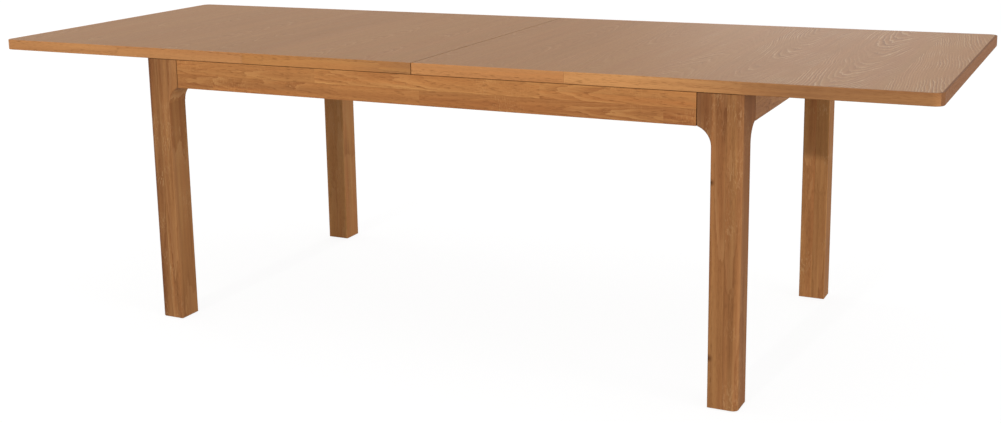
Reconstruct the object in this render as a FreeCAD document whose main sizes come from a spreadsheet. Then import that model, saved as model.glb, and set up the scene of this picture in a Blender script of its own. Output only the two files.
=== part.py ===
"""Centre-opening extension dining table: two half-tops and two loose leaves on a fixed four-legged frame.

Axes: +X along the table, +Y to its back, +Z up. The origin lies on the floor, under the middle of the
pulled-out top. The frame stands off that middle, because one leaf is wider than the other.
"""
import FreeCAD, Part

import math
import os
import re

from FreeCAD import Rotation, Vector

DIMENSIONS = {
    # Top: two half-tops and two leaves, extended.
    "table_height": 760.0,
    "top_thickness": 28.0,
    "side_overhang": 0.0,
    "end_overhang": 10.0,
    "wide_leaf": 500.0,
    "narrow_leaf": 400.0,
    "centre_gap": 2.4,
    "leaf_joint": 0.4,
    "corner_radius": 22.0,
    "lipping_thickness": 6.0,
    "edge_arris": 1.6,
    # Frame.
    "frame_length": 1640.0,
    "frame_width": 940.0,
    "shadow_gap": 1.0,
    "leg_side": 70.0,
    "leg_corner_radius": 14.0,
    "leg_arris": 2.0,
    "haunch_reach": 32.0,
    "haunch_radius": 48.0,
    "glide_height": 3.0,
    "glide_radius": 14.0,
    "glide_nail_radius": 1.5,
    "glide_nail_length": 12.0,
    "apron_height": 75.0,
    "apron_thickness": 22.0,
    "shoulder_gap": 2.0,
    "tenon_length": 25.0,
    "tenon_thickness": 10.0,
    "tenon_height": 50.0,
    "glue_clearance": 0.1,
    "tool_reach": 10.0,
    # Slides: guides on cross rails, runners under the half-tops.
    "cross_rail_inset": 220.0,
    "cross_rail_width": 40.0,
    "cross_rail_height": 28.0,
    "housing_depth": 8.0,
    "guide_inset": 345.0,
    "guide_width": 30.0,
    "guide_height": 45.0,
    "guide_drop": 0.3,
    "guide_end_gap": 0.4,
    "groove_drop": 16.0,
    "groove_height": 12.0,
    "groove_depth": 9.0,
    "slide_clearance": 0.4,
    "runner_width": 24.0,
    "runner_height": 44.0,
    "runner_inner_end": 60.0,
    "runner_outer_margin": 150.0,
    "notch_clearance": 2.0,
    "extra_travel": 60.0,
    "stop_length": 30.0,
    "stop_height": 14.0,
    # Screws of the runners and guides.
    "screw_radius": 2.2,
    "screw_head_radius": 4.2,
    "screw_head_height": 3.0,
    "screw_recess_radius": 5.0,
    "screw_recess_depth": 8.0,
    "screw_bite": 16.0,
    "screw_margin": 60.0,
    "screw_clearance": 0.1,
    "bore_slack": 1.0,
    # Corner brackets and leg bolts.
    "bracket_offset": 184.0,
    "bracket_thickness": 3.0,
    "bracket_height": 40.0,
    "bracket_flange": 18.0,
    "bracket_drop": 9.0,
    "bracket_screw_inset": 10.0,
    "bracket_screw_length": 14.0,
    "bolt_radius": 4.0,
    "bolt_embed": 40.0,
    "bolt_tail": 14.0,
    "bolt_clearance": 0.5,
    "washer_radius": 9.0,
    "washer_thickness": 1.6,
    "nut_radius": 7.5,
    "nut_height": 6.5,
    # Locating pegs and leaf hooks.
    "peg_radius": 5.0,
    "peg_bite": 14.0,
    "peg_drop": 10.0,
    "peg_clearance": 0.4,
    "peg_margin": 120.0,
    "hook_inset": 110.0,
    "hook_setback": 20.0,
    "hook_half_width": 8.0,
    "hook_thickness": 3.0,
    "hook_nose": 8.0,
    "hook_drop": 4.0,
    "hook_play": 0.2,
    "pivot_radius": 3.0,
    "pivot_clearance": 0.08,
    "pivot_collar_radius": 7.0,
    "pivot_head_height": 2.4,
    "stud_radius": 3.0,
    "stud_clearance": 0.4,
    "stud_flange_radius": 7.0,
    "stud_flange_height": 2.0,
    "stud_tip": 1.6,
}

# Formulas over the sheet's names. Places along X are measured from the middle of the frame.
FRAME_MIDDLE = "((wide_leaf - narrow_leaf) / 2)"
TOP_WIDTH = "(frame_width + 2 * side_overhang)"
HALF_LENGTH = "(frame_length / 2 + end_overhang)"
UNDERSIDE = "(table_height - top_thickness)"
FRAME_TOP = f"({UNDERSIDE} - shadow_gap)"
APRON_BOTTOM = f"({FRAME_TOP} - apron_height)"
HAUNCH_RISE = "sqrt(haunch_radius ^ 2 - (haunch_radius - haunch_reach) ^ 2)"
HEAD_SIDE = "(leg_side + haunch_reach)"
RUNNER_BOTTOM = f"({UNDERSIDE} - runner_height)"
GUIDE_BOTTOM = f"({UNDERSIDE} - guide_drop - guide_height)"
RAIL_BOTTOM = f"({GUIDE_BOTTOM} - cross_rail_height)"
GROOVE_BOTTOM = f"({UNDERSIDE} - groove_drop - groove_height)"
CROSS_RAIL_MIDDLE = "(frame_length / 2 - cross_rail_inset)"
GUIDE_MIDDLE = "(frame_width / 2 - guide_inset)"
OUTER_LANE = f"({GUIDE_MIDDLE} + guide_width / 2 + slide_clearance)"
INNER_LANE = f"({GUIDE_MIDDLE} - guide_width / 2 - slide_clearance - runner_width)"
HOOK_MIDDLE = f"({TOP_WIDTH} / 2 - hook_inset)"
HOOK_SPAN = "(2 * hook_setback + leaf_joint)"
HOOK_TOP = f"({UNDERSIDE} - hook_drop)"
BRACKET_MIDDLE = f"({FRAME_TOP} - bracket_drop - bracket_height / 2)"
SCREW_HOLE = "screw_radius + screw_clearance"
PILOT_DEPTH = "screw_bite + bore_slack"
TENON_RUN = (f"{APRON_BOTTOM} + (apron_height - tenon_height) / 2", "tenon_height")
APRON_RUN = ("frame_width / 2 - apron_thickness", "apron_thickness")
CORE_RUN = (f"-{TOP_WIDTH} / 2 + lipping_thickness", f"({TOP_WIDTH} - 2 * lipping_thickness)")
TOP_RUN = (UNDERSIDE, "top_thickness")

LEFT, RIGHT = -1, 1
FRONT, BACK = -1, 1
SIDES = {"left": LEFT, "right": RIGHT}
DEPTHS = {"front": FRONT, "back": BACK}
LEAVES = {"left": "wide_leaf", "right": "narrow_leaf"}
LEAF_NAMES = {"left": "leaf_wide", "right": "leaf_narrow"}
LANES = {"left": OUTER_LANE, "right": INNER_LANE}
# The tongue of a runner points at its guide: inwards from the outer lane, outwards from the inner lane.
TONGUE_STARTS = {"left": f"({OUTER_LANE} - groove_depth)", "right": f"({INNER_LANE} + runner_width)"}
NOTCH_STARTS = {"left": f"({OUTER_LANE} - groove_depth)", "right": INNER_LANE}

CORNERS = [(depth, end) for end in SIDES for depth in DEPTHS]

UP = Vector(0, 0, 1)
EXACT = 0.01  # how near two places are that count as the same, in millimetres

doc = FreeCAD.newDocument("ExtensionTable")
parts = []


# ---------------------------------------------------------------------------------------------------
# Sheet and drawing helpers
# ---------------------------------------------------------------------------------------------------

def make_sheet():
    """Put each driving dimension in the sheet, as text, with its alias."""
    sheet = doc.addObject("Spreadsheet::Sheet", "Dimensions")
    for row, (alias, size) in enumerate(DIMENSIONS.items(), start=1):
        sheet.set(f"A{row}", alias.replace("_", " "))
        sheet.set(f"B{row}", str(size))
        sheet.setAlias(f"B{row}", alias)
    doc.recompute()


def formula(text):
    """Point each dimension's name in a formula at its cell."""
    def cell(word):
        return f"Dimensions.{word.group()}" if word.group() in DIMENSIONS else word.group()
    return re.sub(r"[a-z_]+", cell, text)


def bind(feature, formulas):
    """Bind properties of a feature to formulas over the sheet."""
    for name, text in formulas.items():
        feature.setExpression(name, formula(text))


def place(feature, point):
    """Bind the place of a feature to three formulas."""
    bind(feature, dict(zip(("Placement.Base.x", "Placement.Base.y", "Placement.Base.z"), point)))


def at(side, x, y, z):
    """Return a point, mirrored to one side (X sign, Y sign) of the frame's middle."""
    return f"{FRAME_MIDDLE} + ({side[0]}) * ({x})", f"({side[1]}) * ({y})", z


def low_corner(side, x, y, z):
    """Return the lowest corner of a box whose starts and lengths are measured outwards on one side."""
    starts = []
    for sign, (start, length) in zip(side, (x, y)):
        starts.append(start if sign > 0 else f"-({start} + {length})")
    return f"{FRAME_MIDDLE} + {starts[0]}", starts[1], z[0]


def block(name, x, y, z, side=(1, 1)):
    """Make a box from (start, length) pairs of formulas, measured outwards on one side."""
    box = doc.addObject("Part::Box", name)
    bind(box, {"Length": x[1], "Width": y[1], "Height": z[1]})
    place(box, low_corner(side, x, y, z))
    return box


def rod(name, radius, length, foot, direction=UP):
    """Make a cylinder that stands on a point and runs in a direction."""
    cylinder = doc.addObject("Part::Cylinder", name)
    bind(cylinder, {"Radius": radius, "Height": length})
    cylinder.Placement = FreeCAD.Placement(Vector(), Rotation(UP, direction))
    place(cylinder, foot)
    return cylinder


def fuse(name, pieces):
    """Join touching pieces into one solid."""
    joined = doc.addObject("Part::MultiFuse", name)
    joined.Shapes = pieces
    return joined


def cut(name, base, tools):
    """Cut tools out of a base."""
    result = doc.addObject("Part::Cut", name)
    result.Base = base
    result.Tool = tools[0] if len(tools) == 1 else fuse(f"{name}_tools", tools)
    return result


def common(name, first, second):
    """Keep what two pieces share."""
    result = doc.addObject("Part::Common", name)
    result.Base, result.Tool = first, second
    return result


def group(name, pieces):
    """Hold like pieces together as separate solids."""
    compound = doc.addObject("Part::Compound", name)
    compound.Links = pieces
    return compound


def sub_part(feature, label):
    """Name a finished piece of the table and keep it for export."""
    feature.Label = label
    parts.append(feature)
    return feature


def edges_where(shape, test):
    """Name the edges of a shape whose bounding box passes a test against the shape's own box."""
    box = shape.BoundBox
    return [f"Edge{number}" for number, edge in enumerate(shape.Edges, start=1) if test(edge.BoundBox, box)]


def is_upright(edge):
    return edge.ZLength > 1 and edge.XLength < EXACT and edge.YLength < EXACT


def is_level(edge):
    return edge.ZLength < EXACT


def rounded_block(name, x, y, z, side, rounds):
    """Make a box as a body and round chosen edges: rounds is a list of (edge test, radius formula)."""
    body = doc.addObject("PartDesign::Body", name)
    tip = body.newObject("PartDesign::AdditiveBox", f"{name}_blank")
    bind(tip, {"Length": x[1], "Width": y[1], "Height": z[1]})
    doc.recompute()
    for number, (test, radius) in enumerate(rounds, start=1):
        fillet = body.newObject("PartDesign::Fillet", f"{name}_round_{number}")
        fillet.Base = (tip, edges_where(tip.Shape, test))
        bind(fillet, {"Radius": radius})
        doc.recompute()
        tip = fillet
    place(body, low_corner(side, x, y, z))
    return body


def wood_screw(name, foot, grip):
    """Make a screw that stands on its head and runs up through a grip length and into the next piece."""
    head = rod(f"{name}_head", "screw_head_radius", "screw_head_height", foot)
    shank = rod(f"{name}_shank", "screw_radius", f"{grip} + screw_bite", foot)
    return fuse(name, [head, shank])


# ---------------------------------------------------------------------------------------------------
# Frame: legs, aprons, brackets and glides
# ---------------------------------------------------------------------------------------------------

def leg_corner(side, u, v, z):
    """Return a point from its distances inwards from the outer corner of a leg."""
    return at(side, f"frame_length / 2 - ({u})", f"frame_width / 2 - ({v})", z)


def corner_name(side):
    """Name a corner of the frame from its signs."""
    return f"{'back' if side[1] > 0 else 'front'}_{'right' if side[0] > 0 else 'left'}"


def leg_bolt_direction(side):
    return Vector(-side[0], -side[1], 0)


def leg_bolt_foot(side):
    start = f"leg_side - bolt_embed / {math.sqrt(2):.6f}"
    return leg_corner(side, start, start, BRACKET_MIDDLE)


def make_front_left_leg():
    """Make a leg: a square column with two coved haunches, mortised for the aprons and bored for a bolt.

    The body's own origin is the foot of the leg's outer corner, and +X and +Y point into the frame.
    """
    name = "leg_front_left"
    side = (LEFT, FRONT)
    body = doc.addObject("PartDesign::Body", name)
    place(body, leg_corner(side, "0", "0", "glide_height"))
    height = f"({FRAME_TOP} - glide_height)"
    haunch_height = f"(apron_height + {HAUNCH_RISE})"
    cove_height = f"({height} - {haunch_height})"

    def add_box(kind, tag, u, v, z):
        box = body.newObject(f"PartDesign::{kind}Box", f"{name}_{tag}")
        bind(box, {"Length": u[1], "Width": v[1], "Height": z[1]})
        place(box, (u[0], v[0], z[0]))

    def bore(tag, radius, length, foot, direction):
        hole = body.newObject("PartDesign::SubtractiveCylinder", f"{name}_{tag}")
        hole.Placement = FreeCAD.Placement(Vector(), Rotation(UP, direction))
        bind(hole, {"Radius": radius, "Height": length})
        place(hole, foot)

    column, haunch, haunch_z = ("0", "leg_side"), ("leg_side", "haunch_reach"), (cove_height, haunch_height)
    add_box("Additive", "column", column, column, ("0", height))
    add_box("Additive", "haunch_along", haunch, column, haunch_z)
    add_box("Additive", "haunch_across", column, haunch, haunch_z)
    cove_axis = "leg_side + haunch_radius"
    cove_length = "leg_side + 2 * tool_reach"
    along_foot, across_foot = (cove_axis, "-tool_reach", cove_height), ("-tool_reach", cove_axis, cove_height)
    bore("cove_along", "haunch_radius", cove_length, along_foot, Vector(0, 1, 0))
    bore("cove_across", "haunch_radius", cove_length, across_foot, Vector(1, 0, 0))
    doc.recompute()

    def outer_edge(edge, box):
        return is_upright(edge) and abs(edge.XMin) < EXACT and abs(edge.YMin) < EXACT

    def inner_edges(edge, box):
        far = max(edge.XMin, edge.YMin)
        return is_upright(edge) and edge.ZMin < EXACT and abs(far - DIMENSIONS["leg_side"]) < EXACT

    tip = body.Tip
    rounds = ((outer_edge, "leg_corner_radius", "corner"), (inner_edges, "leg_arris", "arris"))
    for test, radius, tag in rounds:
        fillet = body.newObject("PartDesign::Fillet", f"{name}_{tag}")
        fillet.Base = (tip, edges_where(tip.Shape, test))
        bind(fillet, {"Radius": radius})
        doc.recompute()
        tip = fillet

    mortise_depth = (f"{HEAD_SIDE} - tenon_length - glue_clearance", "(tenon_length + tool_reach)")
    mortise_width = ("(apron_thickness - tenon_thickness) / 2 - glue_clearance",
                     "(tenon_thickness + 2 * glue_clearance)")
    mortise_height = (f"{height} - (apron_height + tenon_height) / 2 - glue_clearance",
                      "tenon_height + 2 * glue_clearance")
    add_box("Subtractive", "mortise_along", mortise_depth, mortise_width, mortise_height)
    add_box("Subtractive", "mortise_across", mortise_width, mortise_depth, mortise_height)
    bolt_depth = f"leg_side - bolt_embed / {math.sqrt(2):.6f}"
    bolt_foot = (bolt_depth, bolt_depth, f"{height} - bracket_drop - bracket_height / 2")
    bore("bolt_hole", "bolt_radius + glue_clearance", "bolt_embed + tool_reach", bolt_foot,
         leg_bolt_direction(side))
    bore("nail_hole", "glide_nail_radius + glue_clearance", "glide_nail_length",
         ("leg_side / 2", "leg_side / 2", "0"), UP)
    doc.recompute()
    return sub_part(body, name)


def mirrored(source, name, along_x):
    """Mirror a piece in the frame's middle plane across X, or across Y."""
    mirror = doc.addObject("Part::Mirroring", name)
    mirror.Source = source
    mirror.Normal = Vector(1, 0, 0) if along_x else Vector(0, 1, 0)
    if along_x:
        bind(mirror, {"Base.x": FRAME_MIDDLE})
    return sub_part(mirror, name)


def make_legs():
    """Make one leg and mirror it to the other three corners."""
    front_left = make_front_left_leg()
    back_left = mirrored(front_left, "leg_back_left", along_x=False)
    mirrored(front_left, "leg_front_right", along_x=True)
    mirrored(back_left, "leg_back_right", along_x=True)


def bracket_screw_places(side, apron):
    """Return where a bracket's two screws enter the flange on one apron, and which way they run."""
    along = "(bracket_offset - apron_thickness + bracket_flange / 2 + bracket_thickness)"
    across = "(apron_thickness + bracket_thickness)"
    for sign in (-1, 1):
        z = f"{BRACKET_MIDDLE} + ({sign}) * (bracket_height / 2 - bracket_screw_inset)"
        if apron == "long":
            yield leg_corner(side, along, across, z), Vector(0, side[1], 0)
        else:
            yield leg_corner(side, across, along, z), Vector(side[0], 0, 0)


def bracket_holes(name, side, apron):
    """Make the holes of a bracket's screws, through its flange and into the apron."""
    holes = []
    for number, (foot, direction) in enumerate(bracket_screw_places(side, apron), start=1):
        holes.append(rod(f"{name}_{corner_name(side)}_{number}", SCREW_HOLE,
                         "bracket_screw_length + bore_slack", foot, direction))
    return holes


def bracket_screws(name, side, apron):
    """Make the screws of one flange of a bracket, each with its head on the flange."""
    screws = []
    for number, (foot, direction) in enumerate(bracket_screw_places(side, apron), start=1):
        tag = f"{name}_{corner_name(side)}_{number}"
        shank = rod(f"{tag}_shank", "screw_radius", "bracket_screw_length", foot, direction)
        head = rod(f"{tag}_head", "screw_head_radius", "screw_head_height", foot, -direction)
        screws.append(fuse(tag, [shank, head]))
    return screws


def make_long_apron(depth):
    """Make a long apron with a tenon at each end and a housing for each cross rail."""
    name = f"apron_{depth}"
    front_back = (1, DEPTHS[depth])
    length = f"(frame_length - 2 * {HEAD_SIDE} - 2 * shoulder_gap)"
    board = block(f"{name}_board", (f"-{length} / 2", length), APRON_RUN, (APRON_BOTTOM, "apron_height"),
                  front_back)
    tenon_run = f"({length} + 2 * tenon_length)"
    tenons = block(f"{name}_tenons", (f"-{tenon_run} / 2", tenon_run),
                   ("frame_width / 2 - (apron_thickness + tenon_thickness) / 2", "tenon_thickness"),
                   TENON_RUN, front_back)
    tools = []
    for end, sign in SIDES.items():
        side = (sign, DEPTHS[depth])
        rail_x = (f"{CROSS_RAIL_MIDDLE} - cross_rail_width / 2 - glue_clearance",
                  "cross_rail_width + 2 * glue_clearance")
        rail_y = ("frame_width / 2 - apron_thickness - tool_reach", "housing_depth + tool_reach")
        rail_z = (f"{RAIL_BOTTOM} - glue_clearance", "cross_rail_height + 2 * glue_clearance")
        tools.append(block(f"{name}_housing_{end}", rail_x, rail_y, rail_z, side))
        tools += bracket_holes(f"{name}_hole", side, "long")
    sub_part(cut(name, fuse(f"{name}_blank", [board, tenons]), tools), name)


def make_end_apron(end):
    """Make an end apron with a tenon at each end and a notch in its top edge for each runner."""
    name = f"apron_{end}"
    length = f"(frame_width - 2 * {HEAD_SIDE} - 2 * shoulder_gap)"
    board = block(f"{name}_board", ("frame_length / 2 - apron_thickness", "apron_thickness"),
                  (f"-{length} / 2", length), (APRON_BOTTOM, "apron_height"), (SIDES[end], 1))
    tenon_run = f"({length} + 2 * tenon_length)"
    tenons = block(f"{name}_tenons",
                   ("frame_length / 2 - (apron_thickness + tenon_thickness) / 2", "tenon_thickness"),
                   (f"-{tenon_run} / 2", tenon_run), TENON_RUN, (SIDES[end], 1))
    tools = []
    for depth, sign in DEPTHS.items():
        side = (SIDES[end], sign)
        notch_x = ("frame_length / 2 - apron_thickness - tool_reach", "apron_thickness + 2 * tool_reach")
        notch_y = (f"{NOTCH_STARTS[end]} - notch_clearance",
                   "runner_width + groove_depth + 2 * notch_clearance")
        notch_z = (f"{RUNNER_BOTTOM} - notch_clearance", "runner_height + tool_reach")
        tools.append(block(f"{name}_notch_{depth}", notch_x, notch_y, notch_z, side))
        tools += bracket_holes(f"{name}_hole", side, "end")
    sub_part(cut(name, fuse(f"{name}_blank", [board, tenons]), tools), name)


def make_corner_hardware():
    """Make the bracket, leg bolt, washer, nut, screws and glide at each of the four corners."""
    brackets, bolts, washers, nuts, screws, glides = [], [], [], [], [], []
    bottom = f"{FRAME_TOP} - bracket_drop - bracket_height"
    for depth, end in CORNERS:
        side = (SIDES[end], DEPTHS[depth])
        tag = f"{depth}_{end}"
        direction = leg_bolt_direction(side)
        web_end = ("apron_thickness", "bracket_offset - apron_thickness")
        u, v = web_end if side[0] * side[1] > 0 else reversed(web_end)
        web = doc.addObject("Part::Box", f"bracket_web_{tag}")
        web_length = f"(bracket_offset - 2 * apron_thickness) * {math.sqrt(2):.6f}"
        bind(web, {"Length": web_length, "Width": "bracket_thickness", "Height": "bracket_height"})
        web.Placement = FreeCAD.Placement(Vector(), Rotation(Vector(0, 1, 0), direction))
        place(web, leg_corner(side, u, v, bottom))
        flange_run = ("bracket_offset - apron_thickness", "bracket_flange + bracket_thickness")
        flange_depth = ("apron_thickness", "bracket_thickness")
        flanges = []
        for flange, (u, v) in (("long", (flange_run, flange_depth)), ("end", (flange_depth, flange_run))):
            flanges.append(block(f"bracket_{flange}_{tag}",
                                 (f"frame_length / 2 - ({u[0]}) - ({u[1]})", f"({u[1]})"),
                                 (f"frame_width / 2 - ({v[0]}) - ({v[1]})", f"({v[1]})"),
                                 (bottom, "bracket_height"), side))
        bolt_hole = rod(f"bracket_bolt_hole_{tag}", "bolt_radius + bolt_clearance",
                        "bolt_embed + bracket_offset", leg_bolt_foot(side), direction)
        holes = [bolt_hole]
        for apron in ("long", "end"):
            holes += bracket_holes(f"bracket_hole_{apron}", side, apron)
            screws += bracket_screws(f"bracket_screw_{apron}", side, apron)
        brackets.append(cut(f"bracket_{tag}", fuse(f"bracket_blank_{tag}", [web, *flanges]), holes))

        to_web = f"(bracket_offset / 2 - leg_side) * {math.sqrt(2):.6f} + bracket_thickness"
        bolts.append(rod(f"bolt_{tag}", "bolt_radius", f"bolt_embed + {to_web} + bolt_tail",
                         leg_bolt_foot(side), direction))
        seat = f"bracket_offset / 2 + bracket_thickness / {math.sqrt(2):.6f}"
        washer = rod(f"washer_blank_{tag}", "washer_radius", "washer_thickness",
                     leg_corner(side, seat, seat, BRACKET_MIDDLE), direction)
        nut_seat = f"{seat} + washer_thickness / {math.sqrt(2):.6f}"
        nut = doc.addObject("Part::Prism", f"nut_blank_{tag}")
        bind(nut, {"Circumradius": "nut_radius", "Height": "nut_height"})
        nut.Placement = FreeCAD.Placement(Vector(), Rotation(UP, direction))
        place(nut, leg_corner(side, nut_seat, nut_seat, BRACKET_MIDDLE))
        bore = rod(f"nut_bore_{tag}", "bolt_radius + glue_clearance / 2", "bolt_embed + bracket_offset",
                   leg_bolt_foot(side), direction)
        washers.append(cut(f"washer_{tag}", washer, [bore]))
        nuts.append(cut(f"nut_{tag}", nut, [bore]))

        glide = rod(f"glide_disc_{tag}", "glide_radius", "glide_height",
                    leg_corner(side, "leg_side / 2", "leg_side / 2", "0"))
        nail = rod(f"glide_nail_{tag}", "glide_nail_radius", "glide_height + glide_nail_length - bore_slack",
                   leg_corner(side, "leg_side / 2", "leg_side / 2", "0"))
        glides.append(fuse(f"glide_{tag}", [glide, nail]))
    sub_part(group("corner_brackets", brackets), "corner_brackets")
    sub_part(group("bracket_screws", screws), "bracket_screws")
    sub_part(group("hanger_bolts", bolts), "hanger_bolts")
    sub_part(group("bolt_washers", washers), "bolt_washers")
    sub_part(group("bolt_nuts", nuts), "bolt_nuts")
    sub_part(group("floor_glides", glides), "floor_glides")


# ---------------------------------------------------------------------------------------------------
# Slides: cross rails, guides, runners and stops
# ---------------------------------------------------------------------------------------------------

def guide_screw_foot(side):
    return at(side, CROSS_RAIL_MIDDLE, GUIDE_MIDDLE, RAIL_BOTTOM)


def recess(name, foot):
    return rod(name, "screw_recess_radius", "screw_recess_depth", foot)


def make_cross_rail(end):
    """Make a rail that crosses the frame under the guides, housed in both long aprons."""
    name = f"cross_rail_{end}"
    length = "(frame_width - 2 * apron_thickness + 2 * housing_depth - 2 * glue_clearance)"
    rail = block(f"{name}_bar", (f"{CROSS_RAIL_MIDDLE} - cross_rail_width / 2", "cross_rail_width"),
                 (f"-{length} / 2", length), (RAIL_BOTTOM, "cross_rail_height"), (SIDES[end], 1))
    tools = []
    for depth, sign in DEPTHS.items():
        foot = guide_screw_foot((SIDES[end], sign))
        tools.append(rod(f"{name}_hole_{depth}", SCREW_HOLE,
                         "cross_rail_height + tool_reach", foot))
        tools.append(recess(f"{name}_recess_{depth}", foot))
    sub_part(cut(name, rail, tools), name)


def make_guide(depth):
    """Make a fixed guide with a groove along each side, screwed down on both cross rails."""
    name = f"guide_rail_{depth}"
    front_back = (1, DEPTHS[depth])
    length = "(frame_length - 2 * apron_thickness - 2 * guide_end_gap)"
    guide_y = (f"{GUIDE_MIDDLE} - guide_width / 2", "guide_width")
    guide_x = (f"-{length} / 2", length)
    bar = block(f"{name}_bar", guide_x, guide_y, (GUIDE_BOTTOM, "guide_height"), front_back)
    groove_x = (f"-{length} / 2 - tool_reach", f"{length} + 2 * tool_reach")
    tools = []
    for tag, start in (("inner", f"{GUIDE_MIDDLE} - guide_width / 2 - tool_reach"),
                       ("outer", f"{GUIDE_MIDDLE} + guide_width / 2 - groove_depth")):
        groove_y = (start, "(groove_depth + tool_reach)")
        groove_z = (GROOVE_BOTTOM, "groove_height")
        tools.append(block(f"{name}_groove_{tag}", groove_x, groove_y, groove_z, front_back))
    for end, sign in SIDES.items():
        foot = at((sign, DEPTHS[depth]), CROSS_RAIL_MIDDLE, GUIDE_MIDDLE, GUIDE_BOTTOM)
        tools.append(rod(f"{name}_pilot_{end}", SCREW_HOLE, PILOT_DEPTH, foot))
    sub_part(cut(name, bar, tools), name)


def make_guide_screws():
    """Make the screws that hold the guides on the cross rails."""
    screws = []
    for depth, end in CORNERS:
        x, y, z = guide_screw_foot((SIDES[end], DEPTHS[depth]))
        screws.append(wood_screw(f"guide_screw_{depth}_{end}",
                                 (x, y, f"{z} + screw_recess_depth - screw_head_height"),
                                 "(cross_rail_height - screw_recess_depth + screw_head_height)"))
    sub_part(group("guide_screws", screws), "guide_screws")


def half_start(end):
    """Return how far the inner edge of a half-top lies from the middle of the frame."""
    return f"(centre_gap / 2 + {LEAVES[end]} + leaf_joint)"


def runner_end(end):
    return f"({half_start(end)} + {HALF_LENGTH} - runner_outer_margin)"


def runner_middle(end):
    return f"({LANES[end]} + runner_width / 2)"


def runner_screw_feet(side, end):
    """Return the points under a runner where its three screws enter, spread along the half-top."""
    spacing = f"({HALF_LENGTH} - runner_outer_margin - 2 * screw_margin) / 2"
    for number in range(3):
        x = f"{half_start(end)} + screw_margin + {number} * {spacing}"
        yield at(side, x, runner_middle(end), RUNNER_BOTTOM)


def peg_foot(side, end, z):
    return at(side, f"centre_gap / 2 + {LEAVES[end]} - peg_margin", runner_middle(end), z)


def make_runner(depth, end):
    """Make a runner: a bar with a tongue in its guide's groove, screwed up into its half-top."""
    name = f"runner_{end}_{depth}"
    side = (SIDES[end], DEPTHS[depth])
    run = ("runner_inner_end", f"({runner_end(end)} - runner_inner_end)")
    bar = block(f"{name}_bar", run, (LANES[end], "runner_width"), (RUNNER_BOTTOM, "runner_height"), side)
    tongue = block(f"{name}_tongue", run, (TONGUE_STARTS[end], "groove_depth"),
                   (f"{GROOVE_BOTTOM} + slide_clearance", "groove_height - 2 * slide_clearance"), side)
    tools = [rod(f"{name}_peg_hole", "peg_radius + peg_clearance", "peg_drop + peg_clearance + tool_reach",
                 peg_foot(side, end, f"{UNDERSIDE} - peg_drop - peg_clearance"))]
    for number, foot in enumerate(runner_screw_feet(side, end), start=1):
        tools.append(rod(f"{name}_hole_{number}", SCREW_HOLE, "runner_height + tool_reach", foot))
        tools.append(recess(f"{name}_recess_{number}", foot))
    sub_part(cut(name, fuse(f"{name}_blank", [bar, tongue]), tools), name)


def make_runner_fittings(end):
    """Make the screws of a half-top's runners, and the blocks that stop them at the cross rail."""
    screws, stops = [], []
    for depth, sign in DEPTHS.items():
        side = (SIDES[end], sign)
        for number, (x, y, z) in enumerate(runner_screw_feet(side, end), start=1):
            screws.append(wood_screw(f"runner_screw_{end}_{depth}_{number}",
                                     (x, y, f"{z} + screw_recess_depth - screw_head_height"),
                                     "(runner_height - screw_recess_depth + screw_head_height)"))
        stop_start = f"{CROSS_RAIL_MIDDLE} - cross_rail_width / 2 - extra_travel - stop_length"
        stops.append(block(f"stop_{end}_{depth}", (stop_start, "stop_length"), (LANES[end], "runner_width"),
                           (f"{RUNNER_BOTTOM} - stop_height", "stop_height"), side))
    sub_part(group(f"runner_screws_{end}", screws), f"runner_screws_{end}")
    sub_part(group(f"runner_stops_{end}", stops), f"runner_stops_{end}")


# ---------------------------------------------------------------------------------------------------
# Top: half-tops, leaves and their lippings
# ---------------------------------------------------------------------------------------------------

def make_half_top(end):
    """Make a half-top: a core with two rounded corners, and a lipping round its three outer edges."""
    name = f"half_top_{end}"
    side = (SIDES[end], 1)
    def outer_end(edge, box):
        return edge.XMin > box.XMax - EXACT if side[0] > 0 else edge.XMax < box.XMin + EXACT

    def corners(edge, box):
        return is_upright(edge) and outer_end(edge, box)

    def rim(edge, box):
        inner = edge.XMax < box.XMin + EXACT if side[0] > 0 else edge.XMin > box.XMax - EXACT
        return is_level(edge) and not inner

    outer = rounded_block(f"{name}_outline", (half_start(end), HALF_LENGTH), (f"-{TOP_WIDTH} / 2", TOP_WIDTH),
                          TOP_RUN, side, [(corners, "corner_radius"), (rim, "edge_arris")])
    blank = rounded_block(f"{name}_blank", (half_start(end), f"({HALF_LENGTH} - lipping_thickness)"),
                          CORE_RUN, TOP_RUN, side, [(corners, "corner_radius - lipping_thickness")])
    pilots = []
    for depth, sign in DEPTHS.items():
        corner = (SIDES[end], sign)
        for number, (x, y, _) in enumerate(runner_screw_feet(corner, end), start=1):
            pilots.append(rod(f"{name}_pilot_{depth}_{number}", SCREW_HOLE,
                              "screw_bite + bore_slack", (x, y, UNDERSIDE)))
        x, y, _ = hook_pivot_foot(corner, end)
        pilots.append(rod(f"{name}_pivot_pilot_{depth}", SCREW_HOLE,
                          "screw_bite + bore_slack", (x, y, UNDERSIDE)))
    sub_part(cut(name, blank, pilots), name)

    ring = cut(f"{name}_ring", outer, [blank])
    long_run = (half_start(end), f"({HALF_LENGTH} - corner_radius)")
    strips = []
    for depth, sign in DEPTHS.items():
        keep = block(f"{name}_strip_{depth}", long_run, ("0", f"({TOP_WIDTH} / 2 + tool_reach)"), TOP_RUN,
                     (SIDES[end], sign))
        strips.append(common(f"{name}_lipping_{depth}", ring, keep))
    end_x = (f"{half_start(end)} + {HALF_LENGTH} - corner_radius", "(corner_radius + tool_reach)")
    end_y = (f"-{TOP_WIDTH} / 2 - tool_reach", f"{TOP_WIDTH} + 2 * tool_reach")
    keep = block(f"{name}_strip_end", end_x, end_y, TOP_RUN, side)
    strips.append(common(f"{name}_lipping_end", ring, keep))
    sub_part(group(f"half_lipping_{end}", strips), f"half_lipping_{end}")


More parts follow.
